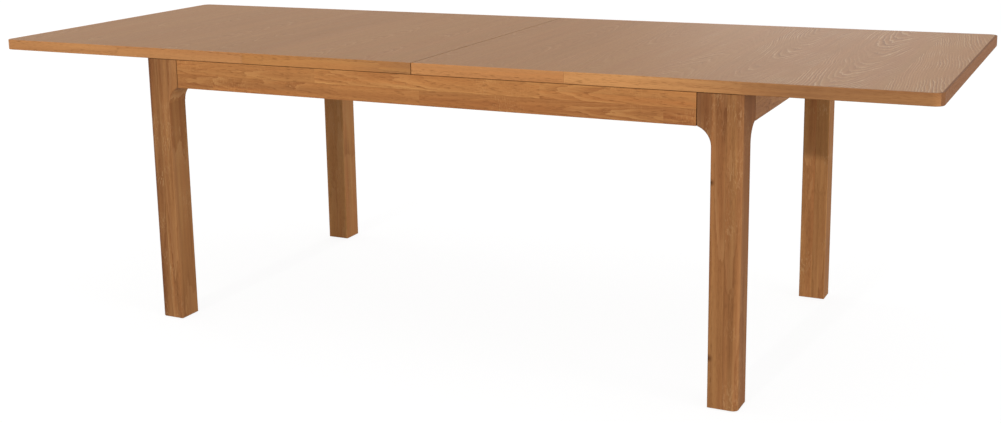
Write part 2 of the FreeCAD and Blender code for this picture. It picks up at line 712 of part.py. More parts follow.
def make_leaf(end):
    """Make a loose leaf with a lipping on its two ends, and the holes of its pegs and studs."""
    name = LEAF_NAMES[end]
    side = (SIDES[end], 1)
    run = ("centre_gap / 2", LEAVES[end])
    board = block(f"{name}_board", run, CORE_RUN, TOP_RUN, side)
    holes, lippings, pegs, studs = [], [], [], []
    for depth, sign in DEPTHS.items():
        corner = (SIDES[end], sign)

        def outer_rim(edge, box, sign=sign):
            outermost = edge.YMin > box.YMax - EXACT if sign > 0 else edge.YMax < box.YMin + EXACT
            return is_level(edge) and outermost

        lippings.append(rounded_block(f"{name}_lipping_{depth}", run,
                                      (f"{TOP_WIDTH} / 2 - lipping_thickness", "lipping_thickness"),
                                      TOP_RUN, corner, [(outer_rim, "edge_arris")]))
        holes.append(rod(f"{name}_peg_hole_{depth}", "peg_radius + glue_clearance / 2",
                         "peg_bite + bore_slack", peg_foot(corner, end, UNDERSIDE)))
        pegs.append(rod(f"{name}_peg_{depth}", "peg_radius", "peg_drop + peg_bite",
                        peg_foot(corner, end, f"{UNDERSIDE} - peg_drop")))
        x, y, _ = stud_foot(corner, end)
        holes.append(rod(f"{name}_stud_hole_{depth}", SCREW_HOLE, PILOT_DEPTH, (x, y, UNDERSIDE)))
        flange = rod(f"{name}_stud_flange_{depth}", "stud_flange_radius", "stud_flange_height",
                     (x, y, f"{UNDERSIDE} - stud_flange_height"))
        stud_drop = "(hook_drop + hook_play + hook_thickness + stud_tip)"
        pin = rod(f"{name}_stud_pin_{depth}", "stud_radius", stud_drop, (x, y, f"{UNDERSIDE} - {stud_drop}"))
        shank = rod(f"{name}_stud_shank_{depth}", "screw_radius", "stud_flange_height + screw_bite",
                    (x, y, f"{UNDERSIDE} - stud_flange_height"))
        studs.append(fuse(f"{name}_stud_{depth}", [flange, pin, shank]))
    sub_part(cut(f"{name}_top", board, holes), f"{name}_top")
    sub_part(group(f"{name}_lippings", lippings), f"{name}_lippings")
    sub_part(group(f"{name}_pegs", pegs), f"{name}_pegs")
    sub_part(group(f"{name}_studs", studs), f"{name}_studs")


# ---------------------------------------------------------------------------------------------------
# Leaf hooks
# ---------------------------------------------------------------------------------------------------

def hook_pivot_foot(side, end):
    return at(side, f"{half_start(end)} + hook_setback", HOOK_MIDDLE, f"{HOOK_TOP} - hook_play")


def stud_foot(side, end):
    return at(side, f"{half_start(end)} + hook_setback - {HOOK_SPAN}", HOOK_MIDDLE, HOOK_TOP)


def make_hook(depth, end):
    """Make a flat hook that swings about its pivot and takes the leaf's stud in a slot round that pivot."""
    name = f"leaf_hook_{end}_{depth}"
    side = (SIDES[end], DEPTHS[depth])
    bottom = f"({HOOK_TOP} - hook_play - hook_thickness)"
    x, y, _ = hook_pivot_foot(side, end)
    pivot = (x, y, bottom)
    x, y, _ = stud_foot(side, end)
    stud = (x, y, bottom)
    nose = at(side, f"{half_start(end)} + hook_setback - {HOOK_SPAN} - hook_nose", HOOK_MIDDLE, bottom)
    pivot_x = f"{half_start(end)} + hook_setback"
    bar = block(f"{name}_bar", (f"{pivot_x} - {HOOK_SPAN} - hook_nose", f"({HOOK_SPAN} + hook_nose)"),
                (f"{HOOK_MIDDLE} - hook_half_width", "2 * hook_half_width"), (bottom, "hook_thickness"), side)
    blank = fuse(f"{name}_blank", [rod(f"{name}_eye", "hook_half_width + 2", "hook_thickness", pivot), bar,
                                   rod(f"{name}_nose", "hook_half_width", "hook_thickness", nose)])
    slot_half = "(stud_radius + stud_clearance)"
    sweep = cut(f"{name}_sweep", rod(f"{name}_far", f"{HOOK_SPAN} + {slot_half}", "hook_thickness", pivot),
                [rod(f"{name}_near", f"{HOOK_SPAN} - {slot_half}", "hook_thickness", pivot)])
    open_x = (f"{pivot_x} - {HOOK_SPAN} - hook_nose - tool_reach", f"({HOOK_SPAN} + tool_reach)")
    open_y = (HOOK_MIDDLE, "(hook_half_width + tool_reach)")
    open_side = block(f"{name}_open_side", open_x, open_y, (bottom, "hook_thickness"), side)
    tools = [common(f"{name}_slot", sweep, open_side),
             rod(f"{name}_seat", slot_half, "hook_thickness", stud),
             rod(f"{name}_bore", "pivot_radius + pivot_clearance", "hook_thickness", pivot)]
    sub_part(cut(name, blank, tools), name)


def make_hook_pivots(end):
    """Make the collared screws under a half-top that its two hooks turn on."""
    pivots = []
    for depth, sign in DEPTHS.items():
        tag = f"hook_pivot_{end}_{depth}"
        x, y, _ = hook_pivot_foot((SIDES[end], sign), end)
        hook_space = "(hook_thickness + 2 * hook_play)"
        collar = rod(f"{tag}_collar", "pivot_collar_radius", "hook_drop", (x, y, HOOK_TOP))
        pin = rod(f"{tag}_pin", "pivot_radius", f"{hook_space} + hook_drop",
                  (x, y, f"{HOOK_TOP} - {hook_space}"))
        head = rod(f"{tag}_head", "pivot_collar_radius", "pivot_head_height",
                   (x, y, f"{HOOK_TOP} - {hook_space} - pivot_head_height"))
        shank = rod(f"{tag}_shank", "screw_radius", "hook_drop + screw_bite", (x, y, HOOK_TOP))
        pivots.append(fuse(tag, [head, pin, collar, shank]))
    sub_part(group(f"hook_pivots_{end}", pivots), f"hook_pivots_{end}")


# ---------------------------------------------------------------------------------------------------
# Build, check and write
# ---------------------------------------------------------------------------------------------------

def build():
    """Make every sub-part of the table."""
    make_sheet()
    make_legs()
    for depth in DEPTHS:
        make_long_apron(depth)
        make_guide(depth)
    for end in SIDES:
        make_end_apron(end)
        make_cross_rail(end)
    make_guide_screws()
    make_corner_hardware()
    for end in SIDES:
        make_half_top(end)
        for depth in DEPTHS:
            make_runner(depth, end)
            make_hook(depth, end)
        make_runner_fittings(end)
        make_hook_pivots(end)
        make_leaf(end)
    doc.recompute()


def check():
    """Stop if any object failed, or any sub-part is empty or not valid."""
    failed = [item.Name for item in doc.Objects if {"Invalid", "Error"} & set(item.State)]
    bad = [part.Label for part in parts if part.Shape.isNull() or not part.Shape.isValid()]
    if failed or bad:
        raise RuntimeError(f"failed objects: {failed}, bad shapes: {bad}")


def write():
    """Write each sub-part to its own STEP file."""
    os.makedirs("parts", exist_ok=True)
    for part in parts:
        part.Shape.exportStep(f"parts/{part.Label}.step")


build()
check()
write()
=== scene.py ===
"""Dresses the extending oak table: oak, beech and steel finishes, camera, lights and floor.

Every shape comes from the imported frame, which is in metres, Z up, with the floor at Z 0. Grain,
glue lines and figure are worked out in the same coordinates, so a board's figure carries on round
its edges.
"""

from __future__ import annotations

import logging
import math
from collections.abc import Sequence
from dataclasses import dataclass, field, replace
from enum import Enum
from typing import NamedTuple

import bpy
from mathutils import Matrix, Vector


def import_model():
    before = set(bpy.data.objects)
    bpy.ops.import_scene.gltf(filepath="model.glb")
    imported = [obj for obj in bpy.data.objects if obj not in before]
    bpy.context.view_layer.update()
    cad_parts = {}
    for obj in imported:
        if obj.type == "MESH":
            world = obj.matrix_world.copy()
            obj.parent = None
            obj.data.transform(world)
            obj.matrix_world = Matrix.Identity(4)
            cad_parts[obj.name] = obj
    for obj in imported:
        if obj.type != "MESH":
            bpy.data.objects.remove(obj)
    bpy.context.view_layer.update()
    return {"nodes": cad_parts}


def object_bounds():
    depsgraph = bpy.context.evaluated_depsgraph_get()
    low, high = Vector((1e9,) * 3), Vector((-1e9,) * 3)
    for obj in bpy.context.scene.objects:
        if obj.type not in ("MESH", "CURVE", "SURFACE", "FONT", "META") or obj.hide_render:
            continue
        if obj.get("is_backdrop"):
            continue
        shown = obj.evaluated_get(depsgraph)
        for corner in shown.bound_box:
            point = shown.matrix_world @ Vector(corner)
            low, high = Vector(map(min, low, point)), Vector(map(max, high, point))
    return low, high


LOG = logging.getLogger("extending_table")
MM = 0.001
WHITE = (1.0, 1.0, 1.0, 1.0)

# A Mix node's sockets for colours and for vectors: its two inputs and its output.
COLOUR_A, COLOUR_B, COLOUR_OUT = 6, 7, 2
VECTOR_A, VECTOR_B, VECTOR_OUT = 4, 5, 1

# A noise's cells in a metre, across the fibres, along them and through, and a cell's size.
SWIRLS = (14.0, 2.2, 14.0)  # 70 by 450 mm
LONG_JAGS = (55.0, 9.0, 55.0)  # 18 by 110 mm
SHORT_JAGS = (160.0, 30.0, 160.0)  # 6 by 33 mm
FIGURE_PATCHES = (14.0, 5.0, 14.0)  # 70 by 200 mm
FLECK_PATCHES = (14.0, 9.0, 14.0)  # 70 by 110 mm
BLUSH_STREAKS = (50.0, 1.3, 50.0)  # 20 by 770 mm
DEEP_STREAKS = (75.0, 2.0, 75.0)  # 13 by 500 mm
PORE_LINES = (800.0, 50.0, 800.0)  # 1.2 by 20 mm

# The values of its noise between which each pattern comes in.
FIGURE_EDGE = (0.44, 0.60)
FLECK_PATCH_EDGE = (0.52, 0.66)
FLECK_EDGE = (0.53, 0.60)
BLUSH_EDGE = (0.40, 0.66)
DEEP_EDGE = (0.28, 0.72)
PORE_EDGE = (0.52, 0.66)
CLOUD_EDGE = (0.3, 0.7)

# How far before its row's middle the pith lies, in rows: at least, by chance and by wander.
PITH_LEAST, PITH_CHANCE, PITH_WANDER = -0.55, 0.6, 0.5
# A faint year's figure and a bold year's, of the finish's ring depth.
FAINT_YEAR, BOLD_YEAR = 0.3, 1.3
# The ring's value up to which the pale line shows, the one from which the pores are full, and the
# share of them that late wood keeps.
VEIN_PART, PORE_PART, LATE_PORES = 0.18, 0.6, 0.3
# Half the width of a finger joint's tooth.
FINGER_MM = 4.0
# Keep a row's number off whole ones, and a stave's noises far from the next stave's.
KEY_OFFSET, KEY_REACH = 0.37, 40.0
# What a pore adds to the roughness.
PORE_ROUGHNESS = 0.15

Tree = bpy.types.NodeTree
Socket = bpy.types.NodeSocket
Objects = dict[str, bpy.types.Object]
Ramp = tuple[float, float, float]
Knot = tuple[float, float, float, float]


class Axis(Enum):
    """An axis of the table: X along it, Y across it and Z up."""

    X = 0
    Y = 1
    Z = 2

    def third(self, other: Axis) -> Axis:
        """Returns the axis that is neither this one nor other."""
        return Axis(3 - self.value - other.value)


def linear(sheet_colour: str) -> tuple[float, float, float, float]:
    """Turns an sRGB hex colour to linear light.

    Args:
        sheet_colour: Six hex digits after a hash.

    Returns:
        Red, green, blue and an alpha of 1.
    """
    parts = [int(sheet_colour[i : i + 2], 16) / 255 for i in (1, 3, 5)]
    red, green, blue = (c / 12.92 if c <= 0.04045 else ((c + 0.055) / 1.055) ** 2.4 for c in parts)
    return red, green, blue, 1.0


def add_node(
    tree: Tree,
    kind: str,
    inputs: Sequence[object] | dict[int | str, object] = (),
    **settings: object,
) -> bpy.types.Node:
    """Adds one node to a tree.

    Args:
        tree: The node's tree.
        kind: The node's type name.
        inputs: The value or output socket that each input gets, in the node's own order or by
            name or number.
        settings: The node's own properties.

    Returns:
        The new node.
    """
    node = tree.nodes.new(kind)
    for name, value in settings.items():
        setattr(node, name, value)
    for socket, value in inputs.items() if isinstance(inputs, dict) else enumerate(inputs):
        if isinstance(value, Socket):
            tree.links.new(value, node.inputs[socket])
        else:
            node.inputs[socket].default_value = value
    return node


def blank_material(name: str) -> bpy.types.Material:
    """Makes a material with an empty node tree.

    Args:
        name: The material's name.

    Returns:
        The new material.
    """
    material = bpy.data.materials.new(name)
    material.use_nodes = True
    material.node_tree.nodes.clear()
    return material


def wear(nodes: Objects, names: tuple[str, ...], material: bpy.types.Material) -> None:
    """Puts one material on each named node, in place of what it came with.

    Args:
        nodes: The frame's nodes by name.
        names: The nodes that get the material.
        material: The material.
    """
    for name in names:
        slots = nodes[name].data.materials
        slots.clear()
        slots.append(material)
        LOG.info("%s wears %s", name, material.name)


class Stave(NamedTuple):
    """What a finish knows of the stave that a point lies in.

    Attributes:
        local: The point's place (across, along, through), with across from the row's middle.
        key: A vector of the stave's own, which moves its noises away from the others'.
        row: The row's number.
        chance: The stave's chance, from 0 to 1.
        draws: Three more chances of its own, as a vector.
        glue: How dark a glue line makes it.
    """

    local: Socket
    key: Socket
    row: Socket
    chance: Socket
    draws: Socket
    glue: Socket

    def drift(
        self, tree: Tree, cells: tuple[float, float, float], **inputs: float
    ) -> bpy.types.NodeOutputs:
        """Works out how the wood drifts along the stave, as a soft noise round 0.5 of its own.

        Args:
            tree: The material's tree.
            cells: The noise's cells in a metre: across, along and through.
            inputs: Its other inputs.

        Returns:
            The noise's outputs.
        """
        place = add_node(
            tree, "ShaderNodeVectorMath", (self.local, cells, self.key),
            operation="MULTIPLY_ADD",
        ).outputs[0]
        return add_node(
            tree, "ShaderNodeTexNoise", {"Vector": place, "Scale": 1.0, **inputs}
        ).outputs


@dataclass(frozen=True)
class Oak:
    """Sawn or sliced European oak under a satin lacquer, glued up from staves.

    Oak is ring-porous: each year starts with a row of wide pores, which shows as a dark broken
    line, and a board cut off the quarter shows those lines as nested arches. The lacquer darkens
    the wood to honey brown and gives it a low, broad shine.

    Every stave is a piece of its own tree. A year's ring is a cone round the pith, because a log
    tapers, so a point's ring number is its distance from the pith, across the fibres, plus the
    taper times the length along, over the width of a ring. The pith lies a little way under each
    stave and wanders along it, and the arches come from that.

    Attributes:
        name: The material's name.
        grain: The way the fibres run.
        rows: The way in which the staves lie side by side.
        pale, deep, pore: The finish's lightest and darkest wood, and its pore and glue lines.
        row_mm, row_start_mm: Width of a row of staves, and where a row starts.
        stave_mm, stave_start_mm: Length of a stave, 0 for full-length ones, and where one starts.
        stagger: How far a row's joints are moved from the next row's, in staves.
        finger_mm: Depth of the finger joints between staves.
        seed: The number that the staves are drawn from.
        tone, row_tone: Share of the deep colour everywhere, and what each row adds.
        heart_and_shade: Where a darker share comes in along the fibres, as start, end and what it
            adds: heartwood, and painted shade at the legs' haunches and on the top's right end
            face.
        blush, blush_depth: A redder wood, and the share of it in the reddest streaks.
        ring_mm: Width of a year's ring.
        pith_mm, pith_spread_mm: Least depth of the pith under a stave, and how much chance adds.
        taper: What a ring's radius loses along the fibres, per length.
        wander_mm, wander_length_mm: How far the pith wanders, and over what length.
        swirl_mm, jag_mm: How far the rings bend in long swirls, and in short sharp steps.
        ring_depth, ring_power: The figure's strength at its strongest, and how fast a ring fades.
        ring_rows, bold_even: The rows between which the figure grows bold, and its even share then.
        figure_even, figure_patch: Share of the strength everywhere, and in the figure's patches.
        vein, vein_depth: The last wood of a year, and how much of its colour shows.
        pore_depth: How dark the pores of a year's first wood are.
        fleck_depth: How clearly the ray flecks show.
        fleck_mm, fleck_turn: A ray fleck's size across and along, and its turn from the fibres.
        stave_spread, streak_spread: How far staves, and streaks within one, differ in tone.
        glue_mm, glue_depth: Width of half a glue line, and how dark it is.
        roughness, specular: The lacquer's roughness and shine.
        bump_mm: Depth of the pores.
        knots: Place and radius of each small knot, in millimetres.
        mitred: Whether the fibres turn at the corners of the top.
    """

    name: str
    grain: Axis
    rows: Axis
    pale: str
    deep: str
    pore: str
    row_mm: float
    row_start_mm: float = 0.0
    stave_mm: float = 0.0
    stave_start_mm: float = 0.0
    stagger: float = 5.0
    finger_mm: float = 0.0
    seed: float = 0.0
    tone: float = 0.0
    row_tone: float = 0.0
    heart_and_shade: tuple[Ramp, ...] = ()
    blush: str = "#B5683A"
    blush_depth: float = 0.0
    ring_mm: float = 4.5
    pith_mm: float = 70.0
    pith_spread_mm: float = 60.0
    taper: float = 0.0
    wander_mm: float = 12.0
    wander_length_mm: float = 700.0
    swirl_mm: float = 8.0
    jag_mm: float = 1.0
    ring_depth: float = 0.30
    ring_power: float = 2.2
    ring_rows: tuple[float, float] | None = None
    bold_even: float = 0.3
    figure_even: float = 0.3
    figure_patch: float = 1.0
    vein: str = "#D2A66C"
    vein_depth: float = 0.4
    pore_depth: float = 0.5
    fleck_depth: float = 0.0
    fleck_mm: tuple[float, float] = (14.0, 4.0)
    fleck_turn: float = 0.5
    stave_spread: float = 0.5
    streak_spread: float = 0.5
    glue_mm: float = 0.5
    glue_depth: float = 0.5
    roughness: float = 0.5
    specular: float = 0.3
    bump_mm: float = 0.15
    knots: tuple[Knot, ...] = ()
    mitred: bool = False

    def build(self) -> bpy.types.Material:
        """Builds the finish on object coordinates.

        Returns:
            The new material.
        """
        material = blank_material(self.name)
        tree = material.node_tree
        place = add_node(tree, "ShaderNodeTexCoord").outputs["Object"]
        stave = self.staves(tree, self.lay_fibres(tree, place))
        ring, weight = self.rings(tree, stave)
        strength = self.figure(tree, stave, weight)
        share = self.deep_share(tree, stave, ring, strength)
        colour = self.blushed(tree, stave)
        colour = add_node(
            tree, "ShaderNodeMix",
            {0: share, COLOUR_A: colour, COLOUR_B: linear(self.deep)}, data_type="RGBA",
        ).outputs[COLOUR_OUT]
        colour = self.veined(tree, ring, strength, colour)
        if self.fleck_depth:
            colour = self.flecks(tree, stave, colour)
        pores = self.pores(tree, stave, ring)
        dark = add_node(tree, "ShaderNodeMath", (pores, stave.glue), operation="MAXIMUM").outputs[0]
        for knot in self.knots:
            dark = self.knot(tree, place, knot, dark)
        colour = add_node(
            tree, "ShaderNodeMix",
            {0: dark, COLOUR_A: colour, COLOUR_B: linear(self.pore)}, data_type="RGBA",
        ).outputs[COLOUR_OUT]
        bump = add_node(
            tree, "ShaderNodeBump", {"Distance": self.bump_mm * MM, "Height": dark}, invert=True
        ).outputs[0]
        gloss = add_node(
            tree, "ShaderNodeMapRange",
            (dark, 0.0, 1.0, self.roughness, self.roughness + PORE_ROUGHNESS),
        ).outputs[0]
        surface = add_node(
            tree, "ShaderNodeBsdfPrincipled",
            {
                "Base Color": colour, "Roughness": gloss, "IOR": 1.5,
                "Specular IOR Level": self.specular, "Normal": bump,
            },
        )
        add_node(tree, "ShaderNodeOutputMaterial", (surface.outputs[0],))
        return material

    def lay_fibres(self, tree: Tree, place: Socket) -> Socket:
        """Turns a place to (across the rows, along the fibres, through the board).

        A mitred edge strip turns its fibres at the corner: they follow Y where the point is nearer
        to the top's end than to its side, where |X| - |Y| is more than at the corner. There the
        place along goes on from the front corner's, as (Y + half the length + half the width), with
        the end's sign.

        Args:
            tree: The material's tree.
            place: The point's place.

        Returns:
            The turned place.
        """
        axes = add_node(tree, "ShaderNodeSeparateXYZ", (place,)).outputs
        across, along = axes[self.rows.value], axes[self.grain.value]
        through = axes[self.grain.third(self.rows).value]
        stock = add_node(tree, "ShaderNodeCombineXYZ", (across, along, through)).outputs[0]
        if not self.mitred:
            return stock
        half_length, half_width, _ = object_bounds()[1]
        onward = add_node(
            tree, "ShaderNodeMath", (through, float(half_length + half_width)), operation="ADD"
        ).outputs[0]
        end = add_node(tree, "ShaderNodeMath", (along,), operation="SIGN").outputs[0]
        onward = add_node(tree, "ShaderNodeMath", (onward, end), operation="MULTIPLY").outputs[0]
        turned = add_node(tree, "ShaderNodeCombineXYZ", (across, onward, along)).outputs[0]
        sides = add_node(tree, "ShaderNodeVectorMath", (place,), operation="ABSOLUTE").outputs[0]
        lead = add_node(
            tree, "ShaderNodeVectorMath", (sides, (1.0, -1.0, 0.0)), operation="DOT_PRODUCT"
        ).outputs["Value"]
        at_end = add_node(
            tree, "ShaderNodeMath", (lead, float(half_length - half_width)),
            operation="GREATER_THAN",
        ).outputs[0]
        return add_node(
            tree, "ShaderNodeMix", {0: at_end, VECTOR_A: stock, VECTOR_B: turned},
            data_type="VECTOR",
        ).outputs[VECTOR_OUT]

    def staves(self, tree: Tree, stock: Socket) -> Stave:
        """Numbers the row and the stave that a point lies in, and draws that stave's chances.

        A row's number is the whole part of (across - start) / row width, and a stave's is the whole
        part of (along - start) / stave length, moved on by a chance of the row's own.

        Args:
            tree: The material's tree.
            stock: The place as (across, along, through).

        Returns:
            What is known of the stave.
        """
        across, along, through = add_node(tree, "ShaderNodeSeparateXYZ", (stock,)).outputs
        in_rows = add_node(
            tree, "ShaderNodeMath",
            (across, 1 / (self.row_mm * MM), -self.row_start_mm / self.row_mm),
            operation="MULTIPLY_ADD",
        ).outputs[0]
        row = add_node(tree, "ShaderNodeMath", (in_rows,), operation="FLOOR").outputs[0]
        in_row = add_node(tree, "ShaderNodeMath", (in_rows,), operation="FRACT").outputs[0]
        row_key = add_node(
            tree, "ShaderNodeMath", (row, self.seed + KEY_OFFSET), operation="ADD"
        ).outputs[0]
        number = self.stave_number(tree, across, along, row_key) if self.stave_mm else row_key
        drawn = add_node(tree, "ShaderNodeCombineXYZ", (row_key, number, self.seed)).outputs[0]
        drawn = add_node(
            tree, "ShaderNodeTexWhiteNoise", {"Vector": drawn}, noise_dimensions="3D"
        ).outputs
        key = add_node(
            tree, "ShaderNodeVectorMath", (drawn["Color"], (KEY_REACH,) * 3),
            operation="MULTIPLY",
        ).outputs[0]
        centred = add_node(tree, "ShaderNodeMath", (in_row, 0.5), operation="SUBTRACT").outputs[0]
        across = add_node(
            tree, "ShaderNodeMath", (centred, self.row_mm * MM), operation="MULTIPLY"
        ).outputs[0]
        local = add_node(tree, "ShaderNodeCombineXYZ", (across, along, through)).outputs[0]
        off_middle = add_node(tree, "ShaderNodeMath", (centred,), operation="ABSOLUTE").outputs[0]
        glue = add_node(
            tree, "ShaderNodeMapRange",
            (off_middle, 0.5 - self.glue_mm / self.row_mm, 0.5, 0.0, self.glue_depth),
        ).outputs[0]
        return Stave(local, key, row, drawn["Value"], drawn["Color"], glue)

    def stave_number(self, tree: Tree, across: Socket, along: Socket, row_key: Socket) -> Socket:
        """Numbers a stave along its row.

        A finger joint moves the stave's end to and fro by a triangle wave of the place across, with
        teeth 8 mm from tip to tip.

        Args:
            tree: The material's tree.
            across, along: The place across the rows and along the fibres.
            row_key: The row's number, off the whole ones.

        Returns:
            The stave's number.
        """
        row_chance = add_node(
            tree, "ShaderNodeTexWhiteNoise", {"W": row_key}, noise_dimensions="1D"
        ).outputs[0]
        moved = add_node(
            tree, "ShaderNodeMath",
            (row_chance, self.stagger, -self.stave_start_mm / self.stave_mm),
            operation="MULTIPLY_ADD",
        ).outputs[0]
        if self.finger_mm:
            teeth = add_node(
                tree, "ShaderNodeMath", (across, FINGER_MM * MM), operation="PINGPONG"
            ).outputs[0]
            moved = add_node(
                tree, "ShaderNodeMath",
                (teeth, self.finger_mm / FINGER_MM / (self.stave_mm * MM), moved),
                operation="MULTIPLY_ADD",
            ).outputs[0]
        in_staves = add_node(
            tree, "ShaderNodeMath", (along, 1 / (self.stave_mm * MM), moved),
            operation="MULTIPLY_ADD",
        ).outputs[0]
        return add_node(tree, "ShaderNodeMath", (in_staves,), operation="FLOOR").outputs[0]

    def rings(self, tree: Tree, stave: Stave) -> tuple[Socket, Socket]:
        """Works out how far a point is into its year's ring: 1 at the first wood, 0 at the last.

        The ring number is the distance from the pith, bent by a long soft noise and two sharper
        ones, over the ring's width. The value falls as (1 - part of the ring) to the ring power.

        Args:
            tree: The material's tree.
            stave: The point's stave.

        Returns:
            That value, and the year's weight: some years stand out, and others hardly show.
        """
        radius = self.pith_distance(tree, stave)
        for cells, amount, detail in (
            (SWIRLS, self.swirl_mm, 2.0),
            (LONG_JAGS, 2 * self.jag_mm, 2.0),
            (SHORT_JAGS, self.jag_mm, 1.0),
        ):
            bend = stave.drift(tree, cells, Detail=detail)["Fac"]
            radius = add_node(
                tree, "ShaderNodeMath", (bend, amount * MM, radius), operation="MULTIPLY_ADD"
            ).outputs[0]
        number = add_node(
            tree, "ShaderNodeMath", (radius, -1 / (self.ring_mm * MM)), operation="MULTIPLY"
        ).outputs[0]
        left = add_node(tree, "ShaderNodeMath", (number,), operation="FRACT").outputs[0]
        year = add_node(tree, "ShaderNodeMath", (number,), operation="FLOOR").outputs[0]
        weight = add_node(
            tree, "ShaderNodeTexWhiteNoise", {"W": year}, noise_dimensions="1D"
        ).outputs[0]
        ring = add_node(
            tree, "ShaderNodeMath", (left, self.ring_power), operation="POWER"
        ).outputs[0]
        return ring, weight

    def pith_distance(self, tree: Tree, stave: Stave) -> Socket:
        """Works out a point's distance from the pith, as the log's taper changes it.

        It is the length of (across + the pith's place before the row's middle, the pith's depth),
        plus the taper times the length along. The place through the board doesn't count, so lines
        go straight through. The pith's place is a chance of the stave's own, plus a slow noise of
        the length along. Another chance sets which way the log tapers.

        Args:
            tree: The material's tree.
            stave: The point's stave.

        Returns:
            The distance in metres.
        """
        lengthwise = (0.0, 1000.0 / self.wander_length_mm, 0.0)
        slow = stave.drift(tree, lengthwise, Detail=2.0, Roughness=0.45)["Color"]
        row = self.row_mm * MM
        pith = add_node(
            tree, "ShaderNodeVectorMath",
            (
                stave.draws,
                (PITH_CHANCE * row, 0.0, self.pith_spread_mm * MM),
                (PITH_LEAST * row, 0.0, (self.pith_mm - self.wander_mm) * MM),
            ),
            operation="MULTIPLY_ADD",
        ).outputs[0]
        wandered = add_node(
            tree, "ShaderNodeVectorMath",
            (slow, (PITH_WANDER * row, 0.0, 2 * self.wander_mm * MM), pith),
            operation="MULTIPLY_ADD",
        ).outputs[0]
        flat = add_node(
            tree, "ShaderNodeVectorMath", (stave.local, (1.0, 0.0, 0.0), wandered),
            operation="MULTIPLY_ADD",
        ).outputs[0]
        radius = add_node(
            tree, "ShaderNodeVectorMath", (flat,), operation="LENGTH"
        ).outputs["Value"]
        if not self.taper:
            return radius
        butt = add_node(tree, "ShaderNodeSeparateXYZ", (stave.draws,)).outputs[1]
        butt = add_node(tree, "ShaderNodeMath", (butt, 0.5), operation="GREATER_THAN").outputs[0]
        taper = add_node(
            tree, "ShaderNodeMapRange", (butt, 0.0, 1.0, -self.taper, self.taper)
        ).outputs[0]
        along = add_node(tree, "ShaderNodeSeparateXYZ", (stave.local,)).outputs[1]
        return add_node(
            tree, "ShaderNodeMath", (along, taper, radius), operation="MULTIPLY_ADD"
        ).outputs[0]

    def figure(self, tree: Tree, stave: Stave, weight: Socket) -> Socket:
        """Works out how strongly the rings show: more in patches some 70 mm wide and 200 mm long.

        Args:
            tree: The material's tree.
            stave: The point's stave.
            weight: The year's weight.

        Returns:
            The strength.
        """
        patch = stave.drift(tree, FIGURE_PATCHES, Detail=1.0)["Fac"]
        even, patchy = self.figure_even, self.figure_patch
        if self.ring_rows:
            even, patchy = (
                add_node(
                    tree, "ShaderNodeMapRange", (stave.row, *self.ring_rows, first, last)
                ).outputs[0]
                for first, last in ((even, self.bold_even), (patchy, 1.0))
            )
        in_patch = add_node(
            tree, "ShaderNodeMapRange", (patch, *FIGURE_EDGE, 0.0, patchy)
        ).outputs[0]
        room = add_node(tree, "ShaderNodeMath", (1.0, even), operation="SUBTRACT").outputs[0]
        shown = add_node(
            tree, "ShaderNodeMath", (in_patch, room, even), operation="MULTIPLY_ADD"
        ).outputs[0]
        depth = add_node(
            tree, "ShaderNodeMapRange",
            (weight, 0.0, 1.0, FAINT_YEAR * self.ring_depth, BOLD_YEAR * self.ring_depth),
        ).outputs[0]
        return add_node(tree, "ShaderNodeMath", (shown, depth), operation="MULTIPLY").outputs[0]

    def veined(self, tree: Tree, ring: Socket, strength: Socket, colour: Socket) -> Socket:
        """Adds the pale thin line of each year's last wood.

        Args:
            tree: The material's tree.
            ring: The ring's value, 1 to 0.
            strength: The figure's strength.
            colour: The wood's colour.

        Returns:
            It with the line.
        """
        line = add_node(
            tree, "ShaderNodeMapRange", (ring, 0.0, VEIN_PART, self.vein_depth, 0.0)
        ).outputs[0]
        share = add_node(
            tree, "ShaderNodeMath", (line, strength), operation="MULTIPLY", use_clamp=True
        ).outputs[0]
        return add_node(
            tree, "ShaderNodeMix",
            {0: share, COLOUR_A: colour, COLOUR_B: linear(self.vein)}, data_type="RGBA",
        ).outputs[COLOUR_OUT]

    def blushed(self, tree: Tree, stave: Stave) -> Socket:
        """Works out the pale wood's colour, redder in streaks of some 20 mm along the fibres.

        Args:
            tree: The material's tree.
            stave: The point's stave.

        Returns:
            The colour.
        """
        red = stave.drift(tree, BLUSH_STREAKS, Detail=3.0)["Fac"]
        red = add_node(
            tree, "ShaderNodeMapRange", (red, *BLUSH_EDGE, 0.0, self.blush_depth)
        ).outputs[0]
        return add_node(
            tree, "ShaderNodeMix",
            {0: red, COLOUR_A: linear(self.pale), COLOUR_B: linear(self.blush)},
            data_type="RGBA",
        ).outputs[COLOUR_OUT]

